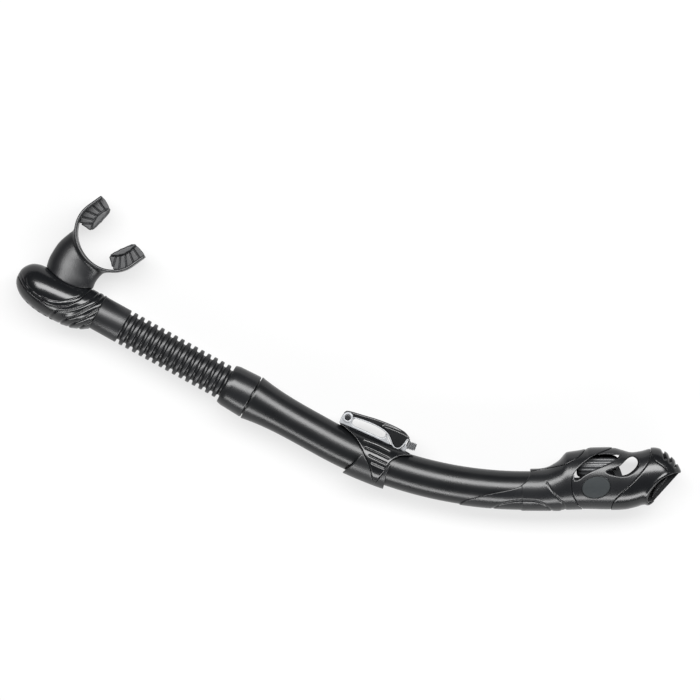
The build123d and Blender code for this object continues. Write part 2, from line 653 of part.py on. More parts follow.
def build():
    parts = {
        "main_tube": main_tube(),
        "hose_collar": hose_collar(),
        "hose_top_cuff": hose_top_cuff(),
        "hose_bottom_cuff": hose_bottom_cuff(),
        "chamber_body": chamber_body(),
        "chamber_cover": chamber_cover(),
        "purge_seat": purge_seat(),
        "purge_valve": purge_valve(),
        "purge_gasket": purge_gasket(),
        "mouthpiece": mouthpiece(),
        "mouthpiece_lock_ring": mouthpiece_lock_ring(),
        "keeper_band": keeper_band(),
        "keeper_saddle": keeper_saddle(),
        "strap_frame": strap_frame(),
        "keeper_gate": keeper_gate(),
        "keeper_pin": keeper_pin(),
        "keeper_latch": keeper_latch(),
        "latch_pin": latch_pin(),
        "dry_top_sleeve": dry_top_sleeve(),
        "sleeve_skirt": sleeve_skirt(),
        "bulkhead": bulkhead(),
        "cage_shell": cage_shell(),
        "badges": badges(),
        "nose_shell": nose_shell(),
        "float_body": float_body(),
        "flap_lever": flap_lever(),
        "flap_seal": flap_seal(),
        "flap_pin": flap_pin(),
    }
    for n in range(1, RING_COUNT + 1):
        parts[f"hose_ring_{n:02d}"] = hose_ring(n)
    return parts


def home(parts):
    """The move that sets the whole snorkel down on Z = 0, centred on the origin in X and Y."""
    boxes = [p.bounding_box() for p in parts.values()]
    low = [min(getattr(b.min, k) for b in boxes) for k in "XYZ"]
    high = [max(getattr(b.max, k) for b in boxes) for k in "XYZ"]
    return Pos(-(low[0] + high[0]) / 2, -(low[1] + high[1]) / 2, -low[2])


if __name__ == "__main__":
    os.makedirs("parts", exist_ok=True)
    made = build()
    move = home(made)
    for name, shape in made.items():
        export_step(move * shape, f"parts/{name}.step")
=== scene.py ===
"""Looks of a dry-top snorkel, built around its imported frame.

Shapes are drawn in millimetres in local frames that all lie in the snorkel's middle plane: HOSE,
MOUTH, KEEPER and TOP. A moulded piece is a field that is negative inside it, meshed by
surface_net and symmetric in z.
"""

import json
import math

import bpy
import numpy as np
from mathutils import Matrix, Vector

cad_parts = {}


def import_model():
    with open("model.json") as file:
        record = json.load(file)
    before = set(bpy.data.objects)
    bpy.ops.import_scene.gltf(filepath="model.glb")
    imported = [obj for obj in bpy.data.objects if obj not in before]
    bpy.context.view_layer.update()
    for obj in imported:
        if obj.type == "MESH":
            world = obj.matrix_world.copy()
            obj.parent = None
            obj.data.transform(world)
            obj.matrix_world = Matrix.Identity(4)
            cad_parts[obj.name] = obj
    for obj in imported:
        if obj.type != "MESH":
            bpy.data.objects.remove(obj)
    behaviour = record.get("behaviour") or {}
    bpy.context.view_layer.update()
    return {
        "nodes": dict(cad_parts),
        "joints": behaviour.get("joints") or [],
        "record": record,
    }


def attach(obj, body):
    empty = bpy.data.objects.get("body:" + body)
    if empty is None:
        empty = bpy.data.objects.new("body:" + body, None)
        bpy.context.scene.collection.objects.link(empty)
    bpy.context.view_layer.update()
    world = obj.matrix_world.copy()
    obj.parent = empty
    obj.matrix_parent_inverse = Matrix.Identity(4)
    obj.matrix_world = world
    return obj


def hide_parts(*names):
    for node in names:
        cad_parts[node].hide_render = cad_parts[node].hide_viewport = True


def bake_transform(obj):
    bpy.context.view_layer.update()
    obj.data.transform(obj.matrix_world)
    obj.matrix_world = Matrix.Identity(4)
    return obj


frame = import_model()

# ---- driving dimensions, in millimetres --------------------------------------------------------
FIRST_HINGE = -19.92  # x of the hose's first joint, from the tube's lower end
CELL, SMALL_CELL, FINE_CELL = 0.38, 0.35, 0.22  # cells of the moulded pieces' meshes
TUBE_R, TUBE_BORE_R = 12.3, 10.2
FLARE_R, FLARE_LENGTH = 15.1, 40.0
FLARE_POWER = 2.6
STRAIGHT_LENGTH, BEND_R, BEND_ANGLE = 54.8, 267.8, 29.0
TUBE_IN_HOUSING = 19.5  # straight end of the tube, inside the dry top
COLLAR_LENGTH = 18.2
RING_R, VALLEY_R = 11.6, 9.0
HALF_GAP, HALF_CREST = 1.12, 1.35  # of the hose's valleys and crests, along it
SPANS = 16  # stretches of hose, one for each bending joint
CUFF_R, CUFF_BORE_R = 11.55, 9.7
SPIGOT_BORE_R, SPIGOT_R = 8.1, 9.6  # of the chamber's spigot, inside the cuff
CHAMBER_END = -114.3
KEEPER_ANGLE = 6.45
MOUTH_APEX, MOUTH_TURN = (-140.7, 27.0), -25.2
WALL = 1.8
COVER_WALL, SHELL_WALL = 1.6, 3.0
TUBE_FIT = 0.12  # clearance between the strap keeper and the tube
SEAM, WIDE_SEAM = 0.06, 0.07  # half the gap between two mouldings
EDGE, SMALL_EDGE = 0.5, 0.3  # rounding of their edges

joints = {j["name"]: j for j in frame["joints"]}
hinges = [1000 * Vector(joints[f"hose_bend_{n:02d}"]["pos_m"]) for n in range(1, SPANS + 1)]
ORIGIN = hinges[0] - Vector((FIRST_HINGE, 0, 0))

# ---- frames ------------------------------------------------------------------------------------


class Frame:
    """A frame in the middle plane, placed in the hose's frame."""

    def __init__(self, x, y, degrees):
        self.x, self.y = x, y
        self.c, self.s = math.cos(math.radians(degrees)), math.sin(math.radians(degrees))

    def out(self, x, y):
        """The hose's coordinates of a point of this frame."""
        return self.x + x * self.c - y * self.s, self.y + x * self.s + y * self.c

    def into(self, x, y):
        """This frame's coordinates of a point of the hose's frame."""
        dx, dy = x - self.x, y - self.y
        return dx * self.c + dy * self.s, dy * self.c - dx * self.s


def on_bend(degrees):
    """Frame on the tube's bend, that many degrees along it."""
    a = math.radians(degrees)
    return Frame(STRAIGHT_LENGTH + BEND_R * math.sin(a), BEND_R * (1 - math.cos(a)), degrees)


HOSE = Frame(0, 0, 0)
MOUTH = Frame(*MOUTH_APEX, MOUTH_TURN)
KEEPER = on_bend(KEEPER_ANGLE)
TOP = on_bend(BEND_ANGLE)


def metres(points, place=HOSE):
    """Local points as an array in the row's frame, in metres."""
    points = np.asarray(points, float)
    x, y = place.out(points[:, 0], points[:, 1])
    return (np.stack([x, y, points[:, 2]], 1) + np.array(ORIGIN)) / 1000


# ---- curves and fields -------------------------------------------------------------------------


def smooth_line(points, closed=False, steps=8):
    """Catmull-Rom curve through the points, as a dense polyline."""
    p = np.array(points, float)
    before, after = (p[-1:], p[:2]) if closed else (2 * p[0] - p[1], 2 * p[-1] - p[-2])
    p = np.vstack([before, p, after])
    t = np.linspace(0, 1, steps, endpoint=False)[:, None]
    spans = []
    for a, b, c, d in zip(p, p[1:], p[2:], p[3:]):
        square, cube = a - 2.5 * b + 2 * c - d / 2, 1.5 * (b - c) + (d - a) / 2
        spans.append(b + t * (c - a) / 2 + t * t * square + t ** 3 * cube)
    line = np.vstack(spans)
    return line if closed else np.vstack([line, p[-2]])


def table(*points):
    """Smooth function through (x, value) points."""
    line = smooth_line(points, steps=16)
    return lambda x: np.interp(x, line[:, 0], line[:, 1])


def near_line(line, x, y):
    """Squared distance to a polyline."""
    near = np.float32(1e9)
    for (ax, ay), (bx, by) in zip(line, line[1:]):
        dx, dy = bx - ax, by - ay
        t = np.clip(((x - ax) * dx + (y - ay) * dy) / (dx * dx + dy * dy + 1e-12), 0, 1)
        near = np.minimum(near, (x - ax - t * dx) ** 2 + (y - ay - t * dy) ** 2)
    return near


def stroke(points):
    """Distance to an open curve."""
    line = smooth_line(points, steps=5)
    return lambda x, y: np.sqrt(near_line(line, x, y))


def region(points, smooth=True, steps=5):
    """Signed distance to a closed outline."""
    line = smooth_line(points, closed=True, steps=steps) if smooth else np.array(points, float)
    line = np.vstack([line, line[0]])

    def distance(x, y):
        inside = False
        for (ax, ay), (bx, by) in zip(line, line[1:]):
            crosses = (ay <= y) != (by <= y)
            inside = inside ^ (crosses & (x < ax + (y - ay) * (bx - ax) / ((by - ay) or 1)))
        return np.where(inside, -1, 1) * np.sqrt(near_line(line, x, y))

    return distance


def both(a, b, r=0.0):
    """Where two fields overlap, with edges rounded by about r."""
    h = np.maximum(r - np.abs(a - b), 0) / max(r, 1e-9)
    return np.maximum(a, b) + h * h * r / 4


def either(a, b, r=0.0):
    """Two fields as one, with the corner between them filled by about r."""
    return -both(-a, -b, r)


def without(a, b, r=0.0):
    """The first field where the second isn't."""
    return both(a, -b, r)


def prism(flat, z, half, r):
    """Flat outline raised to half on both sides, with its edges rounded by r."""
    a, b = flat + r, np.abs(z) - half + r
    return np.minimum(np.maximum(a, b), 0) + np.hypot(np.maximum(a, 0), np.maximum(b, 0)) - r


def groove(field, distance, width, depth):
    """Field with a groove where distance is near zero. A negative depth makes a ridge."""
    return field + depth * np.exp(-((distance / width) ** 2))


def oval_body(top, bottom, half_width, power=2.0):
    """Body with oval sections across x, between two outlines, with that half width."""
    high, low, wide = table(*top), table(*bottom), table(*half_width)

    def field(x, y, z):
        a = np.maximum((high(x) - low(x)) / 2, 0.05)
        w = np.maximum(wide(x), 0.05)
        across, deep = np.abs(y - (high(x) + low(x)) / 2) / a, np.abs(z) / w
        body = ((across ** power + deep ** power) ** (1 / power) - 1) * np.minimum(a, w)
        return np.maximum(body, np.maximum(top[0][0] - x, x - top[-1][0]))

    return field


def off_line(x, y, at):
    """Distance from a line through that point, square to the middle plane."""
    return np.hypot(x - at[0], y - at[1])


def off_tube(x, y, z):
    """Distance from the bent tube's centreline, for points in the hose's frame."""
    across = BEND_R - np.hypot(x - STRAIGHT_LENGTH, y - BEND_R)
    before = x < STRAIGHT_LENGTH
    tx, ty = TOP.into(x, y)
    return np.hypot(np.where(before, y, np.where(tx > 0, ty, across)), z)


# ---- meshes ------------------------------------------------------------------------------------


def sample(volume, at):
    """Trilinear values of a volume at fractional grid places."""
    at = np.clip(at, 0, np.array(volume.shape) - 1.001)
    base = at.astype(int)
    t = at - base
    total = 0
    for corner in np.ndindex(2, 2, 2):
        weight = np.prod([t[:, k] if corner[k] else 1 - t[:, k] for k in range(3)], axis=0)
        total = total + weight * volume[tuple((base + corner).T)]
    return total


def surface_net(field, low, high, cell):
    """Vertices and quads where field is zero. Half of it is worked out and mirrored in z."""
    xs = np.arange(low[0] - 2 * cell, high[0] + 2 * cell, cell)
    ys = np.arange(low[1] - 2 * cell, high[1] + 2 * cell, cell)
    half = np.arange(0, high[2] + 2 * cell, cell)
    slabs = []
    for part in np.array_split(xs, max(1, len(xs) // 24)):
        values = field(part[:, None, None], ys[None, :, None], half[None, None, :])
        slabs.append(np.broadcast_to(values, (len(part), len(ys), len(half))).astype(np.float32))
    volume = np.concatenate(slabs)
    volume = np.concatenate([volume[:, :, :0:-1], volume], axis=2)
    inside, size = volume < 0, np.array(volume.shape)
    quads, points = [], []
    for axis in range(3):
        b, c = (axis + 1) % 3, (axis + 2) % 3
        unit = np.eye(3, dtype=int)[axis]
        lower = np.take(inside, range(size[axis] - 1), axis)
        where = np.argwhere(lower != np.take(inside, range(1, size[axis]), axis))
        keep = (where[:, [b, c]] > 0) & (where[:, [b, c]] < size[[b, c]] - 1)
        where = where[keep.all(1)]
        v0, v1 = volume[tuple(where.T)], volume[tuple((where + unit).T)]
        crossing = where.astype(float)
        crossing[:, axis] += v0 / (v0 - v1)
        corners = []
        for db, dc in ((1, 1), (0, 1), (0, 0), (1, 0)):
            cell_at = where.copy()
            cell_at[:, b] -= db
            cell_at[:, c] -= dc
            corners.append(np.ravel_multi_index(cell_at.T, size - 1))
        corners = np.stack(corners, 1)
        corners[v0 > 0] = corners[v0 > 0][:, ::-1]
        quads.append(corners)
        points.append(np.repeat(crossing, 4, axis=0))
    quads, points = np.concatenate(quads), np.concatenate(points)
    _, faces = np.unique(quads.ravel(), return_inverse=True)
    count = np.bincount(faces)
    verts = np.stack([np.bincount(faces, points[:, k]) / count for k in range(3)], 1)
    faces = faces.reshape(-1, 4)
    for _ in range(3):
        verts = settle(relax(verts, faces), volume)
    return verts * cell + np.array([xs[0], ys[0], -half[-1]]), faces


def relax(verts, faces):
    """Each vertex halfway to the middle of its neighbours."""
    ends = np.concatenate([faces[:, [k, (k + 1) % 4]] for k in range(4)])
    ends = np.concatenate([ends, ends[:, ::-1]])
    count = np.bincount(ends[:, 0], minlength=len(verts))
    sums = [np.bincount(ends[:, 0], verts[ends[:, 1], k], len(verts)) for k in range(3)]
    return (verts + np.stack(sums, 1) / count[:, None]) / 2


def settle(verts, volume):
    """Vertices moved back onto the surface."""
    for _ in range(2):
        value = sample(volume, verts)
        halves = 0.5 * np.eye(3)
        slope = np.stack([sample(volume, verts + e) - sample(volume, verts - e) for e in halves], 1)
        step = value / np.maximum((slope ** 2).sum(1), 0.05)
        verts = verts - np.clip(step, -1, 1)[:, None] * slope
    return verts


def add_mesh(name, points, faces, material, body, replaces=()):
    """Object from points in the row's frame, in metres. With no body, it is left unattached."""
    mesh = bpy.data.meshes.new(name)
    mesh.from_pydata(np.asarray(points).tolist(), [], np.asarray(faces).tolist())
    mesh.shade_smooth()
    mesh.materials.append(material)
    made = bpy.data.objects.new(name, mesh)
    bpy.context.scene.collection.objects.link(made)
    if body:
        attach(made, body)
    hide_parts(*replaces)
    return made


def mould(name, field, low, high, place, material, body, replaces=(), cell=CELL):
    """Moulded piece from a field in a local frame, between two corners."""
    verts, faces = surface_net(field, low, high, cell)
    return add_mesh(name, metres(verts, place), faces, material, body, replaces)


def turned(profile, segments=96, closed=True, flutes=0, flute_depth=0.0):
    """Points and quads of a profile of (x, radius) turned about a local x axis."""
    profile = np.array(profile, float)
    n = len(profile)
    turn = np.linspace(0, 2 * math.pi, segments, endpoint=False)
    ripple = 1 + flute_depth * np.cos(flutes * turn)
    r = profile[None, :, 1] * ripple[:, None]
    x = np.repeat(profile[None, :, 0], segments, 0)
    points = np.stack([x, r * np.cos(turn)[:, None], r * np.sin(turn)[:, None]], 2).reshape(-1, 3)
    faces = []
    for i in range(segments):
        j = (i + 1) % segments
        for k in range(n if closed else n - 1):
            m = (k + 1) % n
            faces.append((i * n + k, j * n + k, j * n + m, i * n + m))
    return points, faces


def rounded(profile, r, closed=True):
    """Profile with its corners rounded by about r."""
    p = np.array(profile, float)
    made = []
    for i in range(len(p)):
        if not closed and i in (0, len(p) - 1):
            made.append(p[i])
            continue
        a, b, c = p[i - 1], p[i], p[(i + 1) % len(p)]
        u, v = (a - b) / np.linalg.norm(a - b), (c - b) / np.linalg.norm(c - b)
        cut = min(r, 0.45 * np.linalg.norm(a - b), 0.45 * np.linalg.norm(c - b))
        for t in np.linspace(0, 1, 5):
            made.append((1 - t) ** 2 * (b + u * cut) + 2 * t * (1 - t) * b + t * t * (b + v * cut))
    return made


# ---- materials ---------------------------------------------------------------------------------

GRAINS_PER_METRE, CLOUDS_PER_METRE = 2500, 60
GRAIN_HEIGHT = 0.0002  # in metres
CLOUD_STRENGTH = 0.25  # how far the cloud darkens the colour
RUB_START, RUB_FULL = 0.53, 0.68  # pointiness at which an edge starts to pale, and is fully pale


def plastic(name, colour, rough, grain=0.05, specular=0.5, wear=0.04, metallic=0.0):
    """Moulded plastic: fine grain, a faint cloud in gloss and tone, and paler rubbed edges."""
    made = bpy.data.materials.new(name)
    made.use_nodes = True
    nodes, links = made.node_tree.nodes, made.node_tree.links
    shader = nodes["Principled BSDF"]
    shader.inputs["Specular IOR Level"].default_value = specular
    shader.inputs["Metallic"].default_value = metallic

    where = nodes.new("ShaderNodeTexCoord")
    cloud = nodes.new("ShaderNodeTexNoise")
    cloud.inputs["Scale"].default_value = CLOUDS_PER_METRE
    cloud.inputs["Detail"].default_value = 5
    links.new(where.outputs["Object"], cloud.inputs["Vector"])

    gloss = nodes.new("ShaderNodeMapRange")
    gloss.inputs["To Min"].default_value = rough - 0.05
    gloss.inputs["To Max"].default_value = rough + 0.07
    links.new(cloud.outputs["Fac"], gloss.inputs["Value"])
    links.new(gloss.outputs["Result"], shader.inputs["Roughness"])

    edge = nodes.new("ShaderNodeNewGeometry")
    rub = nodes.new("ShaderNodeMapRange")
    rub.inputs["From Min"].default_value = RUB_START
    rub.inputs["From Max"].default_value = RUB_FULL
    rub.inputs["To Max"].default_value = wear
    links.new(edge.outputs["Pointiness"], rub.inputs["Value"])
    tone = nodes.new("ShaderNodeMix")
    tone.data_type = "RGBA"
    tone.inputs[6].default_value = (*colour, 1)
    tone.inputs[7].default_value = (*[c * 1.5 + 0.25 for c in colour], 1)
    links.new(rub.outputs["Result"], tone.inputs[0])
    shade = nodes.new("ShaderNodeMix")
    shade.data_type = "RGBA"
    shade.blend_type = "MULTIPLY"
    shade.inputs[0].default_value = CLOUD_STRENGTH
    links.new(tone.outputs[2], shade.inputs[6])
    links.new(cloud.outputs["Fac"], shade.inputs[7])
    links.new(shade.outputs[2], shader.inputs["Base Color"])

    fine = nodes.new("ShaderNodeTexNoise")
    fine.inputs["Scale"].default_value = GRAINS_PER_METRE
    fine.inputs["Detail"].default_value = 2
    links.new(where.outputs["Object"], fine.inputs["Vector"])
    bump = nodes.new("ShaderNodeBump")
    bump.inputs["Strength"].default_value = grain
    bump.inputs["Distance"].default_value = GRAIN_HEIGHT
    links.new(fine.outputs["Fac"], bump.inputs["Height"])
    links.new(bump.outputs["Normal"], shader.inputs["Normal"])
    return made


BLACK, SOFT_BLACK = (0.0035, 0.0038, 0.0043), (0.006, 0.0063, 0.007)
GLOSS = plastic("black_gloss", BLACK, 0.2, grain=0.02, specular=0.34)
TUBE = plastic("black_tube", BLACK, 0.28, specular=0.3)
SATIN = plastic("black_satin", SOFT_BLACK, 0.26, grain=0.08, specular=0.3)
SILICONE = plastic("charcoal_silicone", SOFT_BLACK, 0.34, grain=0.08, specular=0.3)
TAB = plastic("bite_silicone", (0.011, 0.0115, 0.0125), 0.5, grain=0.2, specular=0.35, wear=0.08)
SILVER = plastic("silver_grey", (0.17, 0.175, 0.183), 0.3, wear=0.2)
BADGE = plastic("badge_grey", (0.012, 0.0142, 0.0152), 0.6, grain=0.1, specular=0.15, wear=0.03)
FLOAT = plastic("float_grey", (0.03, 0.031, 0.033), 0.35)
LATCH = plastic("latch_grey", (0.05, 0.052, 0.055), 0.4, grain=0.2, wear=0.25)
STEEL = plastic("pin_steel", (0.35, 0.35, 0.36), 0.3, metallic=1.0, wear=0.2)
BY_SLOT = {
    "black_gloss_plastic": GLOSS,
    "black_satin_plastic": SATIN,
    "charcoal_silicone": SILICONE,
    "silver_grey_plastic": SILVER,
    "stainless_pin": STEEL,
    "float_plastic": FLOAT,
}


def finish_cad_nodes():
    """Gives the CAD nodes that stay on show the finish of their slot."""
    for part in frame["record"]["subparts"]:
        node = frame["nodes"][part["node"]]
        if node.hide_render:
            continue
        node.data.materials.clear()
        node.data.materials.append(BY_SLOT[part["material_slot"]])
        for face in node.data.polygons:
            face.material_index = 0


# ---- tube, collar and hose ---------------------------------------------------------------------


def tube():
    """Main tube: its flared lower end, straight run and bend, and its bore."""
    turn = math.radians(BEND_ANGLE)
    last = STRAIGHT_LENGTH + BEND_R * turn + TUBE_IN_HOUSING
    ends = np.linspace(0, FLARE_LENGTH, 24)
    flare = TUBE_R + (FLARE_R - TUBE_R) * (1 - ends / FLARE_LENGTH) ** FLARE_POWER
    outer = [(0.0, FLARE_R - 0.5), (0.12, FLARE_R - 0.15), (0.5, FLARE_R)]
    outer += list(zip(ends[1:], flare[1:]))
    outer += [(s, TUBE_R) for s in np.linspace(FLARE_LENGTH + 2, last, 90)]
    inner = [(s, TUBE_BORE_R) for s in np.linspace(last, 0.0, 100)]
    points, faces = turned(outer + inner, 128)
    s, across, z = points.T
    bend = np.clip((s - STRAIGHT_LENGTH) / BEND_R, 0, turn)
    extra = s - STRAIGHT_LENGTH - bend * BEND_R
    reach = BEND_R - across
    x = STRAIGHT_LENGTH + reach * np.sin(bend) + extra * np.cos(bend)
    y = BEND_R - reach * np.cos(bend) + extra * np.sin(bend)
    points = metres(np.stack([x, y, z], 1))
    add_mesh("tube", points, faces, TUBE, "tube", ["main_tube"])


def collar():
    """Collar that clamps the hose on the tube, with a rounded far edge and a raised rim."""
    near, far = -0.55, -0.6 - COLLAR_LENGTH
    profile = [(near, 11.0), (near, 14.75), (far + 3.0, 14.05), (far, 13.2)]
    profile += [(far, 11.6), (far + 6, 11.2)]
    points, faces = turned(rounded(profile, 1.1), 128)
    hidden = ["hose_collar", "hose_top_cuff"]
    add_mesh("collar", metres(points), faces, SATIN, "tube", hidden)


def spigot():
    """The tube's lower spigot, seen in the groove between the flare and the collar."""
    profile = [(-14.9, 9.3), (2.0, 9.3), (2.0, TUBE_R), (-1.4, TUBE_R), (-1.4, 10.6), (-14.9, 10.6)]
    points, faces = turned(rounded(profile, SMALL_EDGE))
    add_mesh("tube_spigot", metres(points), faces, SATIN, "tube")


def hose_span(number):
    """The hose between two crests, around one joint.

    The first starts deeper in the collar.
    """
    x = hinges[number - 1].x - ORIGIN.x
    crest = HALF_GAP + HALF_CREST
    flank = [(crest, RING_R), (1.75, RING_R), (1.45, RING_R - 0.1), (1.22, RING_R - 0.4)]
    flank += [(1.12, RING_R - 0.9), (1.08, VALLEY_R + 0.95), (0.95, VALLEY_R + 0.4)]
    flank += [(0.6, VALLEY_R + 0.08), (0.25, VALLEY_R)]
    near = [(crest + 1.6, RING_R)] + flank if number == 1 else flank
    profile = [(x + a, r) for a, r in near] + [(x - a, r) for a, r in reversed(flank)]
    points, faces = turned(profile[::-1], closed=False)
    rings = [f"hose_ring_{number:02d}"] if number < SPANS else []
    name, slot = f"hose_span_{number:02d}", "charcoal_silicone"
    made = add_mesh(name, metres(points), faces, SILICONE, None, rings)
    edge = metres([(x + HALF_GAP, 0, 0), (x - HALF_GAP, 0, 0)])
    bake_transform(made)


def lower_cuff():
    """Plain end of the hose, over the chamber's spigot."""
    near = hinges[-1].x - ORIGIN.x - HALF_GAP - 1.1
    far = CHAMBER_END + 0.1
    profile = [(near, CUFF_BORE_R), (near, CUFF_R), (far, CUFF_R), (far, CUFF_BORE_R)]
    points, faces = turned(rounded(profile, EDGE)[::-1])
    add_mesh("lower_cuff", metres(points), faces, SILICONE, "cuff", ["hose_bottom_cuff"])


# ---- purge chamber -----------------------------------------------------------------------------

CHAMBER_TOP = [
    (-171.6, -3.2), (-171.4, -0.6), (-170.7, 1.8), (-169.2, 4.4), (-166.6, 7.0), (-163, 8.7),
    (-158.5, 9.5), (-147, 10.1), (-136, 10.9), (-127, 11.4), (-119, 11.6), (-114.3, 11.7),
]
CHAMBER_BOTTOM = [
    (-171.6, -3.6), (-171.1, -6.3), (-169.6, -9.4), (-166.6, -12.6), (-162, -15.4), (-156, -17.3),
    (-149, -18.4), (-141, -18.6), (-131, -18.1), (-125, -17.2), (-119, -15), (-114.3, -12.2),
]
CHAMBER_HALF_WIDTH = [
    (-171.6, 0.2), (-171.1, 3.4), (-169.6, 6.8), (-166.5, 10.6), (-161.5, 14.2), (-155, 16.4),
    (-147, 17), (-136, 16.4), (-127, 15), (-119, 13.2), (-114.3, 12.1),
]
chamber_form = oval_body(CHAMBER_TOP, CHAMBER_BOTTOM, CHAMBER_HALF_WIDTH)
COVER_ARC = [
    (-176, -2.0), (-171.2, -4.2), (-164.3, -8.7), (-153.7, -11), (-145, -11.5), (-138.8, -9.8),
    (-132.8, -5.6), (-128.2, 1), (-125.3, 8.6), (-123.4, 15),
]
SHELL_ARC = [
    (-170.6, -1.6), (-163.6, -6.4), (-153.8, -8.4), (-145.5, -8.4), (-139.5, -6.2), (-133.5, -1.6),
    (-129.4, 3.6), (-126.6, 11),
]
SHADE_ARC = [(-165.6, -3.4), (-161.5, -7.4), (-155.6, -9.9), (-149.4, -10.4)]
RIBS = [
    [(-141.8, -22), (-138.6, -13.2), (-131.3, -8.2), (-124.7, -1.1), (-120.2, 7.9), (-119, 14)],
    [(-134.5, -22), (-131.2, -15.5), (-125.3, -8.6), (-120.2, 0), (-116.2, 8), (-115.6, 13)],
    [(-129.2, -22), (-125.4, -15.4), (-120.6, -8.8), (-116.6, -1.5), (-113.6, 5)],
    [(-122.6, -21), (-119.2, -13.6), (-115.6, -8), (-113.4, -3.6)],
]
cover_zone = region(COVER_ARC + [(-110, 15), (-110, -30), (-176, -30)], smooth=False)
HOLLOW_END, COVER_HOLLOW_END = -117, -126  # where the chamber's hollow stops
BORE_START = -130  # how far in the spigot's bore reaches
SLOTS_AT, SLOT_ROW_HALF, SLOT_PITCH, SLOT_HALF = -148, 11, 4.6, 0.9
RIB_GROOVE, RIB_CREST = (0.42, 0.6), (1.1, -0.25)  # width and depth


def chamber_skin(x, y, z):
    """Outer form of the chamber with its moulded lines and the twisted ribs of its lower end."""
    skin = chamber_form(x, y, z)
    skin = groove(skin, stroke(SHELL_ARC)(x, y), 0.45, 0.4)
    for rib in RIBS:
        skin = groove(skin, stroke(rib)(x, y), *RIB_GROOVE)
        skin = groove(skin, stroke(rib)(x - 1.5, y + 0.5), *RIB_CREST)
    return skin


def chamber():
    """Purge chamber: the glossy shell, and the ribbed cover below it with its exhaust slots."""

    def bore(x, y, z):
        return both(np.hypot(y, z) - SPIGOT_BORE_R, BORE_START - x)

    def exhaust_slots(x, y, z):
        off = np.abs((x - SLOTS_AT + SLOT_PITCH / 2) % SLOT_PITCH - SLOT_PITCH / 2)
        slots = prism(off - SLOT_HALF, np.abs(z) - 2.8, 1.6, 0.6)
        return both(both(slots, y + 12), np.abs(x - SLOTS_AT) - SLOT_ROW_HALF)

    def shell(x, y, z):
        skin = groove(chamber_form(x, y, z), stroke(SHADE_ARC)(x, y), 0.5, 0.3)
        skin = groove(skin, stroke(SHELL_ARC)(x, y), 0.4, 0.35)
        piece = without(skin, cover_zone(x, y) - SEAM, EDGE)
        piece = without(piece, bore(x, y, z))
        return without(piece, both(chamber_form(x, y, z) + SHELL_WALL, x - HOLLOW_END))

    def cover(x, y, z):
        piece = both(chamber_skin(x, y, z) - 0.12, cover_zone(x, y) + SEAM, EDGE)
        piece = without(piece, both(chamber_form(x, y, z) + COVER_WALL, x - COVER_HOLLOW_END))
        piece = without(piece, bore(x, y, z))
        return without(piece, exhaust_slots(x, y, z), 0.4)

    low, high = (-172, -20, 0), (-113.5, 13, 18)
    mould("chamber_shell", shell, low, high, HOSE, GLOSS, "chamber", ["chamber_body"])
    mould("purge_cover", cover, low, high, HOSE, GLOSS, "chamber", ["chamber_cover"])
    tip = -99.8
    profile = [(HOLLOW_END, SPIGOT_BORE_R), (tip, SPIGOT_BORE_R)]
    profile += [(tip, SPIGOT_R), (HOLLOW_END, SPIGOT_R)]
    points, faces = turned(rounded(profile, 0.4)[::-1])
    add_mesh("chamber_spigot", metres(points), faces, SATIN, "chamber")


# ---- mouthpiece --------------------------------------------------------------------------------

neck_left = table(
    (2, -156.5), (9.5, -157.8), (15, -158.9), (20.2, -159.0), (27.9, -158.2), (35.7, -155.4),
    (40.4, -153), (52, -148),
)
neck_right = table(
    (2, -125.5), (10.8, -124.5), (16.5, -125), (22.3, -124), (26.3, -121.8), (30, -118),
    (36, -110), (52, -96),
)
neck_depth = table((2, 12), (10, 12), (22, 11.6), (32, 12.2), (44, 14.5), (52, 15))
ARCH_HALF, ARCH_ROUND, ARCH_DEPTH, FLANGE = 24.6, 22.5, 33.0, 1.9
FLANGE_HALF_HEIGHT, FLANGE_TAPER = 14, 3.5
AIRWAY_HALF_WIDTH, AIRWAY_HALF_DEPTH = 12.6, 8.4
LUG_RIPPLE, LUG_RIPPLE_LENGTH = 0.5, 4.5
BITE_TAB = [
    (23.9, 33.0), (24.2, 26.2), (23.3, 19.0), (19.2, 11.6), (14.0, 12.8), (10.2, 14.6),
    (10.5, 20.4), (11.7, 26.6), (13.8, 32.1),
]
BITE_LUG = [
    (10.2, 14.6), (13.2, 18.0), (15.2, 22.4), (15.7, 27.5), (14.9, 31.9), (13.8, 32.1),
    (11.7, 26.6), (10.5, 20.4),
]
BITE_GROOVES = [
    [(17.6, 11.9), (13.4, 17.2)],
    [(20.8, 14.6), (14.9, 19.6)],
    [(23.2, 18.7), (15.9, 22.9)],
    [(24.6, 24.0), (16.4, 26.1)],
    [(24.8, 29.4), (15.9, 29.6)],
]


def arch_line():
    """Middle of the flange: a half ellipse and two straight sides."""
    half, depth = ARCH_HALF - FLANGE / 2, ARCH_ROUND - FLANGE / 2
    points = []
    for a in np.linspace(0, math.pi, 48):
        points.append((half * math.cos(a), FLANGE / 2 + depth * (1 - math.sin(a))))
    return [(half, 60.0)] + points + [(-half, 60.0)]


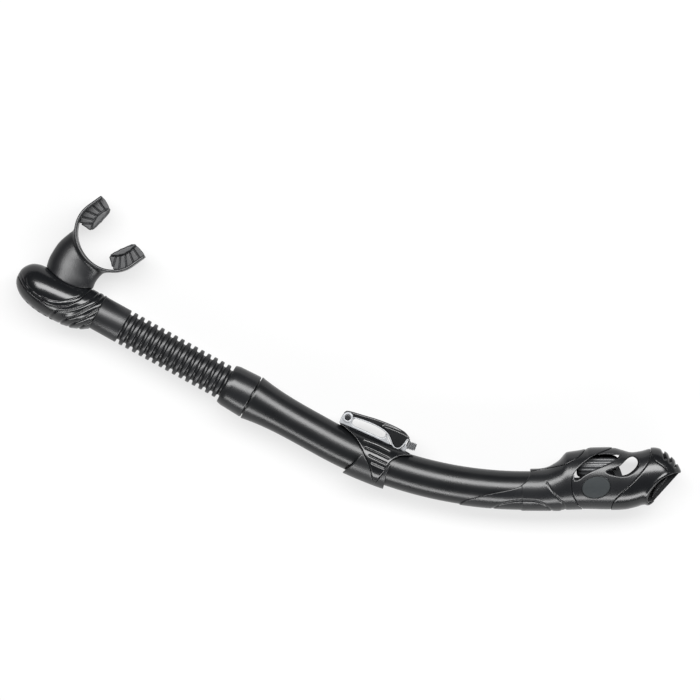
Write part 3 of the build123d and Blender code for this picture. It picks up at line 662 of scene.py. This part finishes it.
def mouthpiece():
    """Silicone mouthpiece: curved lip flange, neck with its airway, and two bite tabs."""
    arch = region(arch_line() + [(0, 90)], smooth=False)

    def body(x, y, z):
        mx, my = MOUTH.into(x, y)
        side = arch(mx, my)
        flat = both(np.abs(side) - FLANGE / 2, my - ARCH_DEPTH, 0.5)
        height = FLANGE_HALF_HEIGHT - FLANGE_TAPER * np.clip(my / ARCH_DEPTH, 0, 1) ** 2
        flange = prism(flat, z, height, 0.85)
        left, right, deep = neck_left(y), neck_right(y), neck_depth(y)
        half, off = (right - left) / 2, x - (right + left) / 2
        neck = (np.hypot(off / half, z / deep) - 1) * np.minimum(half, deep)
        neck = both(without(neck, side + FLANGE / 2), my - 20, 4)
        made = either(flange, neck, 2.2)
        made = np.maximum(made, -(side + FLANGE / 2))
        airway = np.hypot(off / AIRWAY_HALF_WIDTH, z / AIRWAY_HALF_DEPTH) - 1
        made = without(made, both(airway * AIRWAY_HALF_DEPTH, my - 14), 1.2)
        return without(made, chamber_form(x, y, z) - 0.1, 0.6)

    slot, low, high = "charcoal_silicone", (-166, 6, 0), (-103, 72, 15)
    mould("mouthpiece_body", body, low, high, HOSE, SILICONE, "chamber", ["mouthpiece"])

    tab, lug = region(BITE_TAB, steps=3), region(BITE_LUG, steps=4)

    def tabs(x, y, z):
        x = np.abs(x)
        ripple = LUG_RIPPLE * np.abs(np.sin((y - 14) * math.pi / LUG_RIPPLE_LENGTH))
        made = prism(tab(x, y), z, 3.6, 0.7)
        made = either(made, prism(lug(x, y) - 0.2 + ripple, z, 6.2, 0.9), 0.6)
        for line in BITE_GROOVES:
            made = groove(made, stroke(line)(x, y), 0.38, 0.9)
        return groove(made, stroke(BITE_LUG[:5])(x, y), 0.35, 0.5)

    low, high = (-26, 11, 0), (26, 34, 7)
    mould("bite_tabs", tabs, low, high, MOUTH, TAB, "chamber", cell=SMALL_CELL)


# ---- strap keeper ------------------------------------------------------------------------------

SADDLE = [
    (-24.6, 14.5), (-18.5, 12.4), (-12.5, 9.9), (-6.2, 5.3), (-2.3, 1.2), (1, -1.8), (4.9, -5.9),
    (7.3, -10), (10.3, -12.2), (11.8, -9.8), (13.2, -4), (14.3, 0.5), (15, 4.2), (17, 7.8),
    (20.6, 10.9), (25, 12.7), (22, 13.6), (14, 13.6), (0, 14.6), (-13, 15),
]
BAND = [
    (-2.5, 3), (-6.4, -4.8), (-9.1, -10.3), (-11.6, -15), (-14, -22), (17.6, -22), (17.1, -14),
    (15.2, -4), (14.4, 3),
]
SADDLE_LINES = [
    [(-6.5, 10.0), (3, 10.4), (11.8, 9.7)],
    [(-3.5, 6.2), (4.5, 6.0), (12.5, 5.5)],
    [(0.6, 2.6), (6.9, 2.2), (12.4, 1.9)],
    [(3.8, -1.4), (8.4, -1.6), (12.4, -1.7)],
]
FRAME_OUTLINE = [
    (-24.4, 14.3), (-25.7, 16.8), (-25.6, 20.0), (-24.2, 22.6), (-21.8, 23.6), (-19.3, 22.9),
    (-17.9, 21.0), (-12, 21.2), (-4, 21.0), (1.4, 20.6), (5.6, 19.6), (7.2, 17.3), (10.0, 14.0),
    (0, 14.2), (-13, 14.4),
]
GATE = [
    (-24.6, 20.6), (-24.9, 22.6), (-22.6, 24.1), (-13, 25.2), (-3.4, 26.2), (6.5, 26.4),
    (13.9, 25.8), (17.3, 24.9), (19.2, 23.0), (19.5, 20.6), (18.3, 17.2), (16.9, 14.5),
    (14.6, 13.4), (11.9, 14.6), (8.8, 18.0), (5.4, 20.6), (0.3, 22.0), (-6.4, 22.0), (-13.2, 21.8),
    (-17.6, 21.4),
]
TONGUE = [
    (2.5, 24.0), (5.4, 20.6), (8.8, 18.0), (11.9, 14.6), (14.6, 13.4), (16.9, 14.5), (18.3, 17.2),
    (19.5, 20.6), (19.0, 24.0),
]
RIM_LINE = [
    (-17.6, 21.4), (-13.2, 21.9), (-6.4, 22.2), (0.3, 21.7), (5.4, 20.4), (8.8, 17.8),
    (11.9, 14.5), (14.6, 13.4), (16.9, 14.5), (18.3, 17.2), (19.4, 21.6),
]
TAB_OUTLINE = [
    (20.7, 16.6), (22.0, 15.8), (25.6, 16.0), (26.5, 16.9), (26.5, 20.6), (25.8, 21.4),
    (22.8, 21.2), (20.7, 20.4),
]
PIN_AT, PIN_R = (-21.8, 19.9), 1.95
SLOT_MIDDLE, SLOT_STRAIGHT_HALF, SLOT_HALF_WIDTH = (-6.4, 18.7), 9.2, 2.45
GATE_HOLLOW = [(2, 12), (2, 20.9), (5.6, 21.2), (13, 21.2), (18.2, 20.2), (22, 20.2), (22, 12)]
LATCH_LEVER = [(19.4, 15.6), (21.2, 15.6), (21.4, 21.2), (20.8, 22.6), (20.3, 22.2), (20.2, 17.6)]
END_PLATE = [(11.4, 13.9), (21.0, 13.6), (21.2, 16.2), (19.4, 18.6), (18.4, 15.4), (14, 14.9)]
BAND_R, SADDLE_R = 14.9, 15.0
NOTCHES, FIRST_NOTCH, NOTCH_PITCH = 4, 22.6, 1.05  # across the latch's tab
LOOP_HALF, GATE_HALF, CHEEK_HALF = 5.6, 5.5, 6.7  # half thicknesses, square to the middle plane


def keeper():
    """Mask strap keeper: band, saddle, pale loop, hinged gate with its rim, latch and pin head."""
    saddle_zone, band_zone = region(SADDLE, steps=4), region(BAND, steps=4)
    loop, gate_zone = region(FRAME_OUTLINE, steps=4), region(GATE, steps=4)
    tongue, latch_zone = region(TONGUE, steps=4), region(TAB_OUTLINE, steps=3)
    gate_hollow, lever = region(GATE_HOLLOW, smooth=False), region(LATCH_LEVER, smooth=False)
    plate, rim_line = region(END_PLATE, smooth=False), stroke(RIM_LINE)

    def around(x, y, z):
        return off_tube(*KEEPER.out(x, y), z)

    def inner(x, y, z):
        return around(x, y, z) - TUBE_R - TUBE_FIT

    def band(x, y, z):
        ring = both(around(x, y, z) - BAND_R, band_zone(x, y), 0.6)
        ring = without(ring, saddle_zone(x, y) - 0.05, SMALL_EDGE)
        return without(ring, inner(x, y, z), SMALL_EDGE)

    def saddle(x, y, z):
        ring = both(around(x, y, z) - SADDLE_R, saddle_zone(x, y), 0.9)
        stand = prism(both(saddle_zone(x, y) + 0.3, 7 - y), z, LOOP_HALF, 1.0)
        made = either(ring, stand, 2.5)
        for line in SADDLE_LINES:
            made = groove(made, stroke(line)(x, y), 0.55, 0.5)
        return without(made, inner(x, y, z), SMALL_EDGE)

    def loop_body(x, y, z):
        along = x - SLOT_MIDDLE[0]
        past_end = np.maximum(np.abs(along) - SLOT_STRAIGHT_HALF, 0)
        slot = np.hypot(past_end, y - SLOT_MIDDLE[1] + 0.02 * along) - SLOT_HALF_WIDTH
        made = prism(without(loop(x, y), slot, SMALL_EDGE), z, LOOP_HALF, 0.5)
        made = without(made, prism(gate_zone(x, y) - 0.3, z, 3.0, SMALL_EDGE), 0.2)
        made = either(made, prism(off_line(x, y, PIN_AT) - 3.3, z, 5.95, 0.35), SMALL_EDGE)
        return without(made, off_line(x, y, PIN_AT) - 2.0, 0.2)

    def gate(x, y, z):
        arm = prism(gate_zone(x, y), z, GATE_HALF, 0.9)
        arm = without(arm, both(off_line(x, y, PIN_AT) - 3.5, 2.7 - np.abs(z)), SMALL_EDGE)
        made = either(arm, prism(tongue(x, y) + 0.1, z, CHEEK_HALF, 0.8), 1.2)
        made = without(made, prism(gate_hollow(x, y), z, 5.75, 0.2), 0.2)
        return without(made, off_line(x, y, PIN_AT) - 1.6, 0.2)

    def rim(x, y, z):
        flat = both(rim_line(x, y) - 0.42, y - 23.4, 0.2)
        return prism(flat, np.abs(z) - 6.2, 0.85, SMALL_EDGE)

    def latch(x, y, z):
        made = prism(latch_zone(x, y), z, 3.3, 0.4)
        for k in range(NOTCHES):
            made = groove(made, x - FIRST_NOTCH - NOTCH_PITCH * k, 0.28, 0.8)
        return either(made, prism(lever(x, y), z, 2.0, 0.2), SMALL_EDGE)

    def end_plate(x, y, z):
        made = prism(plate(x, y), z, 5.0, SMALL_EDGE)
        return without(made, prism(latch_zone(x, y) - 0.4, z, 3.7, 0.2))

    def pin(x, y, z):
        return prism(off_line(x, y, PIN_AT) - PIN_R, z, 6.2, 0.4)

    def add(name, field, low, high, material, body, slot, nodes, cell):
        mould(name, field, low, high, KEEPER, material, body, nodes, cell)

    gloss, silver = "black_gloss_plastic", "silver_grey_plastic"
    add("keeper_band_wrap", band, (-14, -17, 0), (19, 4, 16), SILICONE, "keeper",
        "charcoal_silicone", ["keeper_band"], SMALL_CELL)
    add("keeper_saddle_body", saddle, (-26, -14, 0), (27, 17, 16), GLOSS, "keeper",
        gloss, ["keeper_saddle"], 0.28)
    add("keeper_loop", loop_body, (-27, 13, 0), (13, 25, 7), SILVER, "keeper",
        silver, ["strap_frame"], 0.3)
    add("keeper_end_plate", end_plate, (10, 13, 0), (22, 19, 6), SILVER, "keeper",
        silver, [], 0.25)
    add("keeper_gate_arm", gate, (-26, 12, 0), (21, 28, 8), GLOSS, "gate",
        gloss, ["keeper_gate"], FINE_CELL)
    add("keeper_gate_rim", rim, (-19, 12, 0), (21, 25, 8), SILVER, "gate",
        silver, [], FINE_CELL)
    add("keeper_latch_tab", latch, (19, 14, 0), (28, 23, 4), LATCH, "latch",
        "black_satin_plastic", ["keeper_latch"], FINE_CELL)
    add("keeper_pin_head", pin, (-25, 17, 0), (-19, 23, 7), SATIN, "keeper",
        "stainless_pin", ["keeper_pin"], 0.2)


# ---- dry top -----------------------------------------------------------------------------------

HOUSING_TOP = [
    (-2, 12.6), (4, 12.75), (9, 13.0), (13, 14.0), (17, 15.9), (22, 19.1), (25.6, 23.2),
    (27.4, 24.4), (31, 25.0), (35, 25.6), (39.5, 26.6), (41.5, 27.5), (46, 27.8), (57, 27.8),
    (62.9, 26.4), (68.7, 24.9), (75, 25.6), (81.5, 27.2), (86.5, 26.9), (91.3, 24.6), (95.4, 21.2),
    (98.9, 17.0), (101.0, 13.0), (102, 10.4),
]
HOUSING_BOTTOM = [
    (-2, -12.6), (10, -12.8), (26, -12.9), (40, -12.6), (55, -12.9), (65, -12.5), (72, -11.0),
    (77, -9.5), (81.5, -9.7), (86, -8.4), (94, -4.2), (99, 1.6), (101.4, 7), (102, 9.6),
]
HOUSING_HALF_WIDTH = [
    (-2, 12.6), (8, 13), (16, 14.6), (26, 16.8), (38, 17.8), (57, 17.9), (68, 17.3), (80, 16.9),
    (89, 14.8), (96, 11), (100.5, 6), (102, 2.5),
]
top_form = oval_body(HOUSING_TOP, HOUSING_BOTTOM, HOUSING_HALF_WIDTH, power=2.2)
SLEEVE_EDGE = [
    (3.6, 18), (3.1, 11.8), (1.4, 7.2), (-3.2, 2.9), (-10.2, 0.4), (-21.8, -2.1), (-33.4, -5.0),
    (-40.4, -7.7), (-45, -11.5), (-50, -18),
]
SLEEVE_ARC = [
    (-23, -14), (-21.2, -12), (-16, -9.1), (-7.9, -7), (1.4, -6.5), (8.4, -7.3), (13, -9.6),
    (17.6, -13.5),
]
SEAM_A = [(13.6, 5.2), (17.6, -0.9), (21.7, -5.6), (25.2, -9.6), (26.3, -14)]
SEAM_B = [
    (38.6, -16), (37.6, -12.5), (33.9, -9.1), (31, -3.2), (29.8, 2.6), (30.4, 8.4), (33.9, 14.2),
    (39.7, 19.4), (45.5, 22.9), (52.5, 25.8), (60.5, 28.8),
]
SEAM_C = [
    (55.0, -16), (55.6, -13.1), (57.1, -7.9), (61.8, -2.1), (68.7, 4.3), (74.5, 10.7),
    (78.6, 16.5), (80.6, 21), (82, 31),
]
FIN_LINE = [
    (2, 12.1), (8.4, 13.1), (17.6, 14.7), (26.9, 17.1), (33.9, 21.1), (38.5, 25.8), (40.9, 30),
]
WINDOW_FLOAT = [
    (31.8, 7.0), (32.2, 11.5), (36.0, 16.8), (41.5, 20.6), (47.0, 22.9), (54, 23.2), (61.6, 22.2),
    (54.8, 18.0), (45.5, 13.9), (38.5, 10.3), (34.8, 7.4),
]
WINDOW_OPEN = [
    (52.4, 11.9), (56.5, 13.9), (60.8, 15.6), (63.2, 17.6), (66.2, 20.4), (69.4, 21.7),
    (72.6, 20.2), (73.7, 17.4), (71.9, 13.8), (67.6, 10.3), (63.0, 9.2), (57.5, 9.9),
]
BADGE_AT, BADGE_HALF, BADGE_TILT = (45.7, 2.0), (9.2, 6.9), 12.0
INLET = [
    (101.5, 11.6), (96.2, 10.9), (91.8, 9.4), (86.6, 6.0), (81.6, 0.4), (79.2, -5.0), (80.0, -8.9),
    (84, -12), (96, 0), (104, 10),
]
INLET_LIP = [(92.5, 8.4), (87.3, 4.9), (83.2, -0.9), (82.6, -4.4), (85.2, -0.9), (88.6, 3.6)]
INLET_AT, INLET_NORMAL = (91.2, 0.9), (0.741, -0.672)  # plane that the inlet lies in
HOUSING_START, HOUSING_HOLLOW_START = -1.0, 24  # where the housing and its hollow begin
TUBE_END, TUBE_SINK = 21, 0.9  # the sleeve's inside is sunk that far into the tube, and ends there
SLEEVE_WALL, SLEEVE_END = 0.62, 22
BADGE_FACE, BADGE_BACK = 0.22, 1.1  # depths below the housing's outer form
GUIDE_AT, GUIDE_HALF_LENGTH, GUIDE_HALF = 47, 14, 0.9  # the float's guide, inside the cage
RIDGE_WIDTH, RIDGE_DEPTH = 0.7, 1.9
RIDGE_ZONE = [
    (79.8, 31), (82.0, 24), (84.3, 18.8), (90.6, 14.4), (92.8, 11.2), (104, 10.9), (112, 20),
    (100, 40),
]
RIDGES = [
    [(88.6, 30), (90.1, 23.2), (90.7, 20.6)],
    [(93.6, 28), (94.2, 20.6), (94.2, 18.4)],
    [(99.6, 23), (98.0, 16.9), (97.4, 15.2)],
]


def beside(line, corners):
    """Zone on one side of a seam, closed by far corners."""
    return region([*smooth_line(line, steps=5), *corners], smooth=False)


front_zone = beside(SEAM_B, [(60, 50), (-90, 50), (-90, -50), (40, -50)])
nose_zone = beside(SEAM_C, [(84, 50), (130, 50), (130, -50), (55, -50)])
fin_zone = beside(FIN_LINE, [(42, 60), (-20, 60), (-20, 13)])
sleeve_zone = beside(SLEEVE_EDGE, [(-50, -40), (80, -40), (80, 40), (4, 40)])


def top_skin(x, y, z):
    """Outer form of the dry top: the sleeve on the bent tube runs into the widened housing."""
    sleeve = both(off_tube(*TOP.out(x, y), z) - TUBE_R - SLEEVE_WALL, x - SLEEVE_END)
    return either(sleeve, both(top_form(x, y, z), HOUSING_START - x), 3.0)


def badge_flat(x, y):
    """Distance from the badge's oval, seen from the side."""
    c, s = math.cos(math.radians(BADGE_TILT)), math.sin(math.radians(BADGE_TILT))
    dx, dy = x - BADGE_AT[0], y - BADGE_AT[1]
    a, b = (dx * c + dy * s) / BADGE_HALF[0], (dy * c - dx * s) / BADGE_HALF[1]
    return (np.hypot(a, b) - 1) * BADGE_HALF[1]


def dry_top():
    """Dry top: sleeve, fin, cage with windows and blank badges, and nose with inlet and cap."""

    def opened(piece, x, y, z):
        """The piece with the housing's hollow taken out."""
        return without(piece, both(top_form(x, y, z) + WALL, HOUSING_HOLLOW_START - x))

    def bored(piece, x, y, z):
        """The piece with the tube's place taken out."""
        bore = off_tube(*TOP.out(x, y), z) - TUBE_R + TUBE_SINK
        return without(piece, both(bore, x - TUBE_END))

    def sleeve(x, y, z):
        skin = groove(top_skin(x, y, z), stroke(SEAM_A)(x, y), 0.45, 0.5)
        skin = groove(skin, stroke(SLEEVE_ARC)(x, y), 0.5, 0.45)
        piece = both(both(skin, sleeve_zone(x, y), 0.4), front_zone(x, y) + WIDE_SEAM, EDGE)
        piece = without(piece, fin_zone(x, y) - SEAM, 0.4)
        return opened(bored(piece, x, y, z), x, y, z)

    def fin(x, y, z):
        piece = both(top_skin(x, y, z) - 0.3, fin_zone(x, y) + SEAM, EDGE)
        piece = both(piece, front_zone(x, y) + WIDE_SEAM, EDGE)
        piece = both(piece, sleeve_zone(x, y), 0.4)
        return opened(bored(piece, x, y, z), x, y, z)

    def badge_back(x, y, z):
        return -(top_form(x, y, z) + BADGE_BACK)

    def cage(x, y, z):
        piece = without(top_form(x, y, z) + 0.25, front_zone(x, y) - WIDE_SEAM, EDGE)
        piece = without(piece, nose_zone(x, y) - WIDE_SEAM, EDGE)
        for window in (WINDOW_FLOAT, WINDOW_OPEN):
            piece = without(piece, region(window, steps=4)(x, y), 0.9)
        piece = without(piece, both(badge_flat(x, y) - 0.12, badge_back(x, y, z)), 0.15)
        piece = opened(piece, x, y, z)
        guide = both(both(np.abs(z) - GUIDE_HALF, 22.8 - y), top_form(x, y, z) + 0.6)
        return np.minimum(piece, both(guide, np.abs(x - GUIDE_AT) - GUIDE_HALF_LENGTH))

    def badge(x, y, z):
        face = both(top_form(x, y, z) + BADGE_FACE, badge_flat(x, y), SMALL_EDGE)
        return both(face, badge_back(x, y, z))

    def off_inlet(x, y):
        """Distance in front of the inlet's plane."""
        return (x - INLET_AT[0]) * INLET_NORMAL[0] + (y - INLET_AT[1]) * INLET_NORMAL[1]

    def nose_skin(x, y, z):
        return both(top_form(x, y, z) - 0.12, off_inlet(x, y), 1.2)

    inlet_zone = region(INLET, steps=4)
    ridge_zone = region(RIDGE_ZONE, smooth=False)

    def nose(x, y, z):
        piece = both(nose_skin(x, y, z), nose_zone(x, y) + WIDE_SEAM, EDGE)
        piece = without(piece, ridge_zone(x, y) - SEAM, 0.4)
        piece = groove(piece, inlet_zone(x, y) - 0.9, 0.8, -0.3)
        piece = without(piece, both(inlet_zone(x, y) + 0.2, 4.2 - np.abs(z), EDGE), 0.8)
        return opened(piece, x, y, z)

    def cap(x, y, z):
        skin = nose_skin(x, y, z) - 0.25
        for line in RIDGES:
            skin = groove(skin, stroke(line)(x, y), RIDGE_WIDTH, RIDGE_DEPTH)
        piece = both(skin, nose_zone(x, y) + WIDE_SEAM, EDGE)
        return opened(both(piece, ridge_zone(x, y) + SEAM, EDGE), x, y, z)

    def web(x, y, z):
        flat = both(inlet_zone(x, y) - 2.0, off_inlet(x, y) + 0.3)
        plate = prism(both(flat, top_form(x, y, 0) + 0.5), z, 1.1, 0.4)
        lip = prism(region(INLET_LIP)(x, y), z, 6.0, 0.5)
        return either(plate, both(lip, flat), 0.4)

    def add(name, field, low, high, material, nodes=(), slot="black_satin_plastic", cell=CELL):
        mould(name, field, low, high, TOP, material, "tube", nodes, cell)

    hidden = ["dry_top_sleeve", "sleeve_skirt"]
    add("top_sleeve", sleeve, (-50, -15, 0), (62, 30, 19), SATIN, hidden)
    add("top_fin", fin, (-2, 8, 0), (60, 30, 19), SATIN)
    add("top_cage", cage, (28, -14, 0), (83, 30, 19), SATIN, ["cage_shell"])
    add("top_badges", badge, (35, -6, 0), (56, 10, 19), BADGE, ["badges"])
    add("top_nose", nose, (54, -15, 0), (103, 30, 19), GLOSS, ["nose_shell"], "black_gloss_plastic")
    add("top_ridged_cap", cap, (78, 8, 0), (103, 30, 19), GLOSS, cell=0.3)
    add("inlet_web", web, (76, -13, 0), (103, 14, 7), SATIN)


def float_piece():
    """Float behind the cage's windows, with flutes along it."""
    start, end, r, off_axis = 33.5, 60.3, 7.2, 15.4
    profile = [(start, 0.3), (start, r - 1.6), (start + 2.6, r)]
    profile += [(end - 2.6, r), (end, r - 1.6), (end, 0.3)]
    line = rounded(profile, 1.2, closed=False)[::-1]
    points, faces = turned(line, 160, closed=False, flutes=16, flute_depth=0.028)
    points[:, 1] += off_axis
    points = metres(points, TOP)
    add_mesh("float_fluted", points, faces, FLOAT, "float", ["float_body"])


# ---- stage -------------------------------------------------------------------------------------


def strip_light(name, along, tilt, distance, length, width, power):
    """Long soft light, parallel to the picture's width, leaning tilt degrees from overhead."""
    light = bpy.data.lights.new(name, "AREA")
    light.shape = "RECTANGLE"
    light.size, light.size_y = length, width
    light.energy = power
    made = bpy.data.objects.new(name, light)
    bpy.context.scene.collection.objects.link(made)
    a = math.radians(tilt)
    target = middle + right * along
    made.location = target + up * (distance * math.sin(a)) + Vector((0, 0, distance * math.cos(a)))
    back = (made.location - target).normalized()
    made.rotation_mode = "QUATERNION"
    made.rotation_quaternion = basis(right, back.cross(right), back)


def basis(x, y, z):
    """Rotation whose axes are x, y and z."""
    return Matrix((x, y, z)).transposed().to_quaternion()


def camera(view_width=0.455, lens=400):
    """Long lens straight above the middle plane, turned so that the dry top points to the right."""
    data = bpy.data.cameras.new("camera")
    data.lens = lens
    data.sensor_width = 36
    made = bpy.data.objects.new("camera", data)
    bpy.context.scene.collection.objects.link(made)
    bpy.context.scene.camera = made
    made.location = middle + Vector((0, 0, view_width * lens / data.sensor_width))
    made.rotation_mode = "QUATERNION"
    made.rotation_quaternion = basis(right, up, Vector((0, 0, 1)))
    data.clip_end = 100


def floor():
    """Pale floor that gives off a little light of its own, like a light table."""
    size = 6  # half its width, in metres
    material = bpy.data.materials.new("pale_floor")
    material.use_nodes = True
    shader = material.node_tree.nodes["Principled BSDF"]
    shader.inputs["Base Color"].default_value = (0.09, 0.09, 0.09, 1)
    shader.inputs["Emission Color"].default_value = (1, 1, 1, 1)
    shader.inputs["Emission Strength"].default_value = 0.7
    shader.inputs["Roughness"].default_value = 0.9
    shader.inputs["Specular IOR Level"].default_value = 0.1
    mesh = bpy.data.meshes.new("floor")
    corners = [(-size, -size, 0), (size, -size, 0), (size, size, 0), (-size, size, 0)]
    mesh.from_pydata(corners, [], [(0, 1, 2, 3)])
    mesh.materials.append(material)
    made = bpy.data.objects.new("floor", mesh)
    bpy.context.scene.collection.objects.link(made)


def world(strength):
    """Even white light from all round."""
    made = bpy.data.worlds.new("studio")
    bpy.context.scene.world = made
    made.use_nodes = True
    made.node_tree.nodes["Background"].inputs["Color"].default_value = (1, 1, 1, 1)
    made.node_tree.nodes["Background"].inputs["Strength"].default_value = strength


VIEW_CENTRE = (41.0, 58.0)  # what the camera looks at, in the hose's frame
middle = Vector(metres([(*VIEW_CENTRE, 0)])[0])
right = Vector((TOP.c, TOP.s, 0))
up = Vector((-TOP.s, TOP.c, 0))

tube()
collar()
spigot()
for number in range(1, SPANS + 1):
    hose_span(number)
lower_cuff()
chamber()
mouthpiece()
keeper()
dry_top()
float_piece()
finish_cad_nodes()

bpy.context.scene.view_settings.view_transform = "Standard"
floor()
world(strength=0.05)
strip_light("upper_strip", along=0.2, tilt=22, distance=1.0, length=2.0, width=0.44, power=54)
strip_light("lower_strip", along=0.2, tilt=-67, distance=1.0, length=2.0, width=0.26, power=25)
camera()
